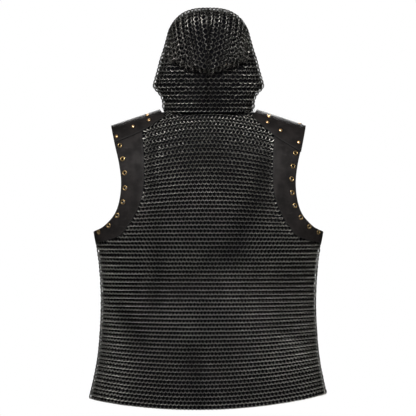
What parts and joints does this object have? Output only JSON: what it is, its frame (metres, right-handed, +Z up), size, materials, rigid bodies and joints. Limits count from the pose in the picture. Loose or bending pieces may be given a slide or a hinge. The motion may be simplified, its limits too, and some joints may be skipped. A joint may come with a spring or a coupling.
{
  "type": "hooded sleeveless chainmail hauberk, worn shape with no wearer",
  "caption": "Sleeveless tunic of linked rings with a standing hood, leather armhole bands with lacing eyelets, and riveted leather shoulder straps.",
  "frame": {"origin": "between the wearer's shoulders, level with the inner ends of the two shoulder ridges, where the shoulders carry the garment", "axes": "+Z up towards the hood's top, -Y towards the garment's front and face opening, +X towards the wearer's left; the picture shows the back, seen from +Y"},
  "size_m": [0.5652, 0.2243, 0.9553],
  "materials": {
    "mail": "blackened steel rings, oiled, worn bright on their high sides",
    "leather": "charcoal vegetable-tanned leather, matt, stitched near its edges",
    "brass": "aged brass eyelets",
    "rivet": "domed rivets of warm brass, polished on top"
  },
  "bodies": {
    "root": {"mail_back": "mail", "mail_front": "mail", "hood_left": "mail", "hood_right": "mail", "band_back_left": "leather", "band_back_right": "leather", "band_front_left": "leather", "band_front_right": "leather", "strap_left": "leather", "strap_right": "leather", "eyelet_back_left_1": "brass", "eyelet_back_left_2": "brass", "eyelet_back_left_3": "brass", "eyelet_back_left_4": "brass", "eyelet_back_left_5": "brass", "eyelet_back_left_6": "brass", "eyelet_back_left_7": "brass", "eyelet_back_left_8": "brass", "eyelet_back_right_1": "brass", "eyelet_back_right_2": "brass", "eyelet_back_right_3": "brass", "eyelet_back_right_4": "brass", "eyelet_back_right_5": "brass", "eyelet_back_right_6": "brass", "eyelet_back_right_7": "brass", "eyelet_back_right_8": "brass", "eyelet_front_left_1": "brass", "eyelet_front_left_2": "brass", "eyelet_front_left_3": "brass", "eyelet_front_left_4": "brass", "eyelet_front_left_5": "brass", "eyelet_front_left_6": "brass", "eyelet_front_left_7": "brass", "eyelet_front_left_8": "brass", "eyelet_front_right_1": "brass", "eyelet_front_right_2": "brass", "eyelet_front_right_3": "brass", "eyelet_front_right_4": "brass", "eyelet_front_right_5": "brass", "eyelet_front_right_6": "brass", "eyelet_front_right_7": "brass", "eyelet_front_right_8": "brass", "rivet_back_left_1": "rivet", "rivet_back_left_2": "rivet", "rivet_back_left_3": "rivet", "rivet_back_left_4": "rivet", "rivet_front_left_1": "rivet", "rivet_front_left_2": "rivet", "rivet_front_left_3": "rivet", "rivet_back_right_1": "rivet", "rivet_back_right_2": "rivet", "rivet_back_right_3": "rivet", "rivet_back_right_4": "rivet", "rivet_ridge_right_1": "rivet", "rivet_front_right_1": "rivet", "rivet_front_right_2": "rivet", "rivet_front_right_3": "rivet"}
  },
  "joints": []
}
